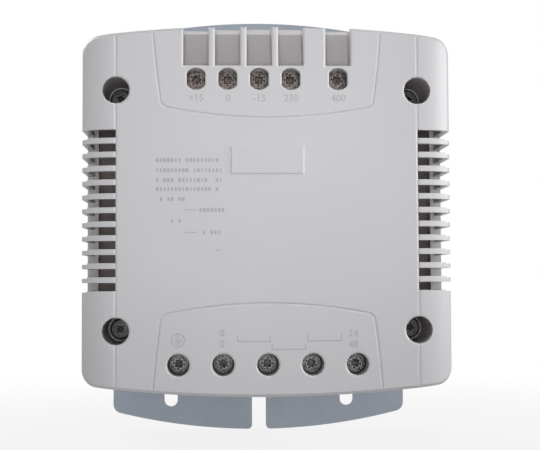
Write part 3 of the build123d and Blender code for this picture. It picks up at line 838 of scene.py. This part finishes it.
placed = add(
    tree,
    "GeometryNodeInstanceOnPoints",
    {"Points": kept.outputs["Geometry"], "Instance": mark.outputs["Mesh"], "Scale": stretch.outputs[0]},
)
end_tree(tree, placed.outputs["Instances"], given["Finish"])
for starts, marks, seed in (
    (((-44.4, 20.1), (-44.4, 16.0), (-44.4, 12.0), (-44.4, 8.4)), 18, 3),
    (((-44.4, 4.4),), 8, 11),
    (((-27.0, 0.0), (-27.0, -9.0)), 7, 5),
    (((-38.4, -4.4),), 3, 2),
):
    sizes = {
        "Pitch": 1.5 * MM,
        "Mark Width": 1.15 * MM,
        "Mark Height": 1.5 * MM,
        "Ink Height": ink_height,
        "Marks": marks,
        "Seed": seed,
    }
    places = [(x * MM, face_y, z * MM) for x, z in starts]
    rows = made_by(row_tree, "rows", places, sizes, pad_ink)
    print_mesh.from_mesh(rows.data)
    bpy.data.objects.remove(rows)
for dash in ((-33.4, -28.4, 0.0), (-33.4, -28.4, -9.0), (-21.2, -18.7, -16.2)):
    left, right, level = [measure * MM for measure in dash]
    lay_bar(left, right, level - stroke / 2, level + stroke / 2)

bmesh.ops.recalc_face_normals(print_mesh, faces=print_mesh.faces)
printed = bpy.data.meshes.new("front_print")
print_mesh.to_mesh(printed)
print_mesh.free()
printed.materials.append(pad_ink)
front_print = bpy.data.objects.new("front_print", printed)
bpy.context.collection.objects.link(front_print)
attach(front_print, "root")

# Feet
# Two pieces of zinc-plated sheet steel, blanked and folded, bolted to the back of the core. Fresh zinc is a
# cool blue grey with a soft sheen and faint cloudy crystals.
crystal_size = 5 * MM
bloom_size = 22 * MM
crystal_share = 0.35
blanked_edge = 0.2 * MM
zinc_sheet, tree, shader, place = new_finish("zinc_plated_sheet_steel", Metallic=1.0)
crystals = add(tree, "ShaderNodeTexVoronoi", {"Vector": place, "Scale": 1 / crystal_size}, feature="F1")
clouds = add(tree, "ShaderNodeTexNoise", {"Vector": place, "Scale": 1 / bloom_size, "Detail": 5.0})
mixed = add(
    tree, "ShaderNodeMix", {0: crystal_share, 2: clouds.outputs["Fac"], 3: crystals.outputs["Distance"]}
)
tone = add(
    tree,
    "ShaderNodeMix",
    {0: mixed.outputs[0], 6: linear("#8A919B"), 7: linear("#9AA1AA")},
    data_type="RGBA",
)
tree.links.new(tone.outputs[2], shader.inputs["Base Color"])
gloss = add(tree, "ShaderNodeMapRange", {"Value": mixed.outputs[0], "To Min": 0.26, "To Max": 0.38})
tree.links.new(gloss.outputs["Result"], shader.inputs["Roughness"])
round_edge = add(tree, "ShaderNodeBevel", {"Radius": blanked_edge}, samples=4)
dents = add(
    tree,
    "ShaderNodeBump",
    {
        "Height": clouds.outputs["Fac"],
        "Strength": 0.08,
        "Distance": 0.1 * MM,
        "Normal": round_edge.outputs["Normal"],
    },
)
tree.links.new(dents.outputs["Normal"], shader.inputs["Normal"])
dress(zinc_sheet, "top_foot", "bottom_foot")

# Core bolts, sleeves, washers and nuts
# Four long steel bolts go in from the front wells through fibre sleeves in the core, and hexagon nuts on
# washers pull the feet, the packs and the cover together from behind.
pulp_size = 0.6 * MM
pressed_fibre, tree, shader, place = new_finish("pressed_fibre", IOR=1.5)
fibres = add(tree, "ShaderNodeTexNoise", {"Vector": place, "Scale": 1 / pulp_size, "Detail": 4.0})
tone = add(
    tree,
    "ShaderNodeMix",
    {0: fibres.outputs["Fac"], 6: linear("#5E2B1F"), 7: linear("#7E3E2C")},
    data_type="RGBA",
)
tree.links.new(tone.outputs[2], shader.inputs["Base Color"])
gloss = add(tree, "ShaderNodeMapRange", {"Value": fibres.outputs["Fac"], "To Min": 0.6, "To Max": 0.8})
tree.links.new(gloss.outputs["Result"], shader.inputs["Roughness"])
dress(pressed_fibre, "bolt_sleeves")
bolt_finish = zinc_finishes["zinc_plated_bolt_steel"]
dress(bolt_finish, "bolt_washers")

bolt_x = 61.0 * MM
bolt_z = 48.5 * MM
bolt_turns = (20, 75, 50, 5)
corners = [(sx * bolt_x, sz * bolt_z) for sz in (1, -1) for sx in (-1, 1)]
low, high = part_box("core_bolts")
bolts = made_by(
    screw_tree,
    "core_bolt_set",
    [(x, low[1], z) for x, z in corners],
    {
        "Head Radius": 4.25 * MM,
        "Head Height": 3.3 * MM,
        "Head Edge": 0.6 * MM,
        "Recess Length": 4.4 * MM,
        "Recess Width": 1.0 * MM,
        "Recess Square": 2.6 * MM,
        "Recess Depth": 1.7 * MM,
        "Shank Radius": 2.5 * MM,
        "Length": high[1] - low[1],
    },
    bolt_finish,
    bolt_turns,
)
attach(bolts, "root")
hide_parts("core_bolts")

nut_tree, given = new_tree(
    "hexagon_nuts_on_washers",
    ("Corner Radius", "Height", "Edge", "Bore Radius", "Washer Radius", "Washer Thickness"),
)
tree = nut_tree
hexagon = bevelled_bar(tree, given["Corner Radius"], given["Height"], 6, given["Edge"])
washer = lowered(
    tree,
    turned_bar(tree, given["Washer Radius"], given["Washer Thickness"], round_sides),
    given["Height"],
)
# The drill starts above the nut and goes through nut and washer.
drill_start = add(tree, "ShaderNodeMath", {0: given["Height"], 1: -1.0}, operation="MULTIPLY").outputs[0]
drill_length = add(tree, "ShaderNodeMath", {0: given["Height"], 1: 4.0}, operation="MULTIPLY").outputs[0]
drill = lowered(tree, turned_bar(tree, given["Bore Radius"], drill_length, shank_sides), drill_start)
bored = []
for blank in (hexagon, washer):
    bored.append(
        add(
            tree,
            "GeometryNodeMeshBoolean",
            {"Mesh 1": blank, "Mesh 2": drill},
            operation="DIFFERENCE",
            solver="EXACT",
        ).outputs["Mesh"]
    )
stacked = add(tree, "GeometryNodeJoinGeometry", {0: tuple(bored)})
facing_back = add(
    tree, "GeometryNodeTransform", {"Geometry": stacked.outputs[0], "Rotation": (-math.pi / 2, 0.0, 0.0)}
)
placed = add(
    tree,
    "GeometryNodeInstanceOnPoints",
    {"Points": given["Geometry"], "Instance": facing_back.outputs["Geometry"]},
)
end_tree(tree, placed.outputs["Instances"], given["Finish"])
low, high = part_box("core_nuts")
nut_width = 8.0 * MM
nuts = made_by(
    nut_tree,
    "core_nut_set",
    [(x, high[1], z) for x, z in corners],
    {
        "Corner Radius": nut_width / 2 / math.cos(math.radians(30)),
        "Height": 4.0 * MM,
        "Edge": 0.5 * MM,
        "Bore Radius": 2.65 * MM,
        "Washer Radius": 5.0 * MM,
        "Washer Thickness": 1.0 * MM,
    },
    bolt_finish,
)
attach(nuts, "root")
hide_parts("core_nuts", "nut_washers")

# Floor and light
# A plain pale floor at the tip of the lower foot keeps a soft shadow and fades to white. Soft lamps stand on
# the right, above and behind, and a beam that metal doesn't mirror reaches into the holes from the front.
reach = 3.0
level = cad_low[2]
shadow_middle = (0.0, -0.06, level)
fade_start = 0.10
fade_end = 0.45
floor_mesh = bpy.data.meshes.new("floor")
floor_mesh.from_pydata(
    [(-reach, -reach, level), (reach, -reach, level), (reach, reach, level), (-reach, reach, level)],
    [],
    [(0, 1, 2, 3)],
)
floor = bpy.data.objects.new("floor", floor_mesh)
bpy.context.collection.objects.link(floor)
floor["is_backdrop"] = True
pale_floor = bpy.data.materials.new("pale_floor")
pale_floor.use_nodes = True
tree = pale_floor.node_tree
tree.nodes.clear()
paint = add(tree, "ShaderNodeBsdfDiffuse", {"Color": linear("#BDBDBD")})
white = add(tree, "ShaderNodeEmission", {"Color": (1.0, 1.0, 1.0, 1.0), "Strength": 1.0})
place = add(tree, "ShaderNodeTexCoord").outputs["Object"]
away = add(tree, "ShaderNodeVectorMath", {0: place, 1: shadow_middle}, operation="DISTANCE")
fade = add(
    tree,
    "ShaderNodeMapRange",
    {
        "Value": away.outputs["Value"],
        "From Min": fade_start,
        "From Max": fade_end,
        "To Min": 0.86,
        "To Max": 1.0,
    },
    interpolation_type="SMOOTHSTEP",
)


def in_sight(tree):
    """One where a surface is seen, straight or in a mirror or glass, and zero where it gives light."""
    rays = add(tree, "ShaderNodeLightPath").outputs
    direct = {0: rays["Is Camera Ray"], 1: rays["Is Glossy Ray"]}
    mirrored = add(tree, "ShaderNodeMath", direct, operation="MAXIMUM").outputs[0]
    return add(
        tree, "ShaderNodeMath", {0: mirrored, 1: rays["Is Transmission Ray"]}, operation="MAXIMUM"
    ).outputs[0]


share = add(tree, "ShaderNodeMath", {0: in_sight(tree), 1: fade.outputs["Result"]}, operation="MULTIPLY")
both = add(tree, "ShaderNodeMixShader", {0: share.outputs[0], 1: paint.outputs[0], 2: white.outputs[0]})
add(tree, "ShaderNodeOutputMaterial", {"Surface": both.outputs[0]})
floor_mesh.materials.append(pale_floor)

world = bpy.data.worlds.new("studio")
bpy.context.scene.world = world
world.use_nodes = True
tree = world.node_tree
tree.nodes.clear()
ambient = add(tree, "ShaderNodeBackground", {"Color": (1.0, 1.0, 1.0, 1.0), "Strength": 0.2})
surround = add(tree, "ShaderNodeBackground", {"Color": (1.0, 1.0, 1.0, 1.0), "Strength": 1.0})
both = add(tree, "ShaderNodeMixShader", {0: in_sight(tree), 1: ambient.outputs[0], 2: surround.outputs[0]})
add(tree, "ShaderNodeOutputWorld", {"Surface": both.outputs[0]})

for name, spot, aim, width, spread, power, in_metal in (
    ("side_lamp", (0.55, -0.26, 0.12), (0.0, -0.10, 0.0), 0.3, 180, 1.6, True),
    ("top_lamp", (0.0, -0.40, 0.50), (0.0, -0.10, 0.0), 0.4, 180, 0.65, True),
    ("front_lamp", (-0.02, -0.60, -0.02), (0.0, -0.10, 0.05), 0.12, 60, 0.148, False),
    ("back_lamp", (-0.40, 0.42, 0.48), (0.0, -0.05, 0.0), 0.4, 180, 2.8, True),
):
    lamp = bpy.data.lights.new(name, "AREA")
    lamp.shape = "SQUARE"
    lamp.size = width
    lamp.spread = math.radians(spread)
    lamp.energy = power
    holder = bpy.data.objects.new(name, lamp)
    holder.location = spot
    holder.rotation_euler = (Vector(aim) - Vector(spot)).to_track_quat("-Z", "Y").to_euler()
    holder.visible_glossy = in_metal
    bpy.context.collection.objects.link(holder)

# Camera
# A long lens a little below the middle of the face and left of it, as the photograph was taken.
image_width = 540
focal_pixels = 1155.3
sensor = 36.0  # mm
stand = (-0.0184, -0.5886, -0.0284)
tilt = math.radians(2.75)
pan = math.radians(-2.38)
roll = math.radians(-0.24)
lens = bpy.data.cameras.new("camera")
lens.sensor_width = sensor
lens.lens = sensor * focal_pixels / image_width
lens.clip_start = 0.01
camera = bpy.data.objects.new("camera", lens)
look = Euler((math.pi / 2 + tilt, 0.0, pan)).to_matrix().to_4x4()
camera.matrix_world = Matrix.Translation(stand) @ look @ Matrix.Rotation(roll, 4, "Z")
bpy.context.collection.objects.link(camera)
bpy.context.scene.camera = camera
bpy.context.scene.view_settings.view_transform = "Standard"

low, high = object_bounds()
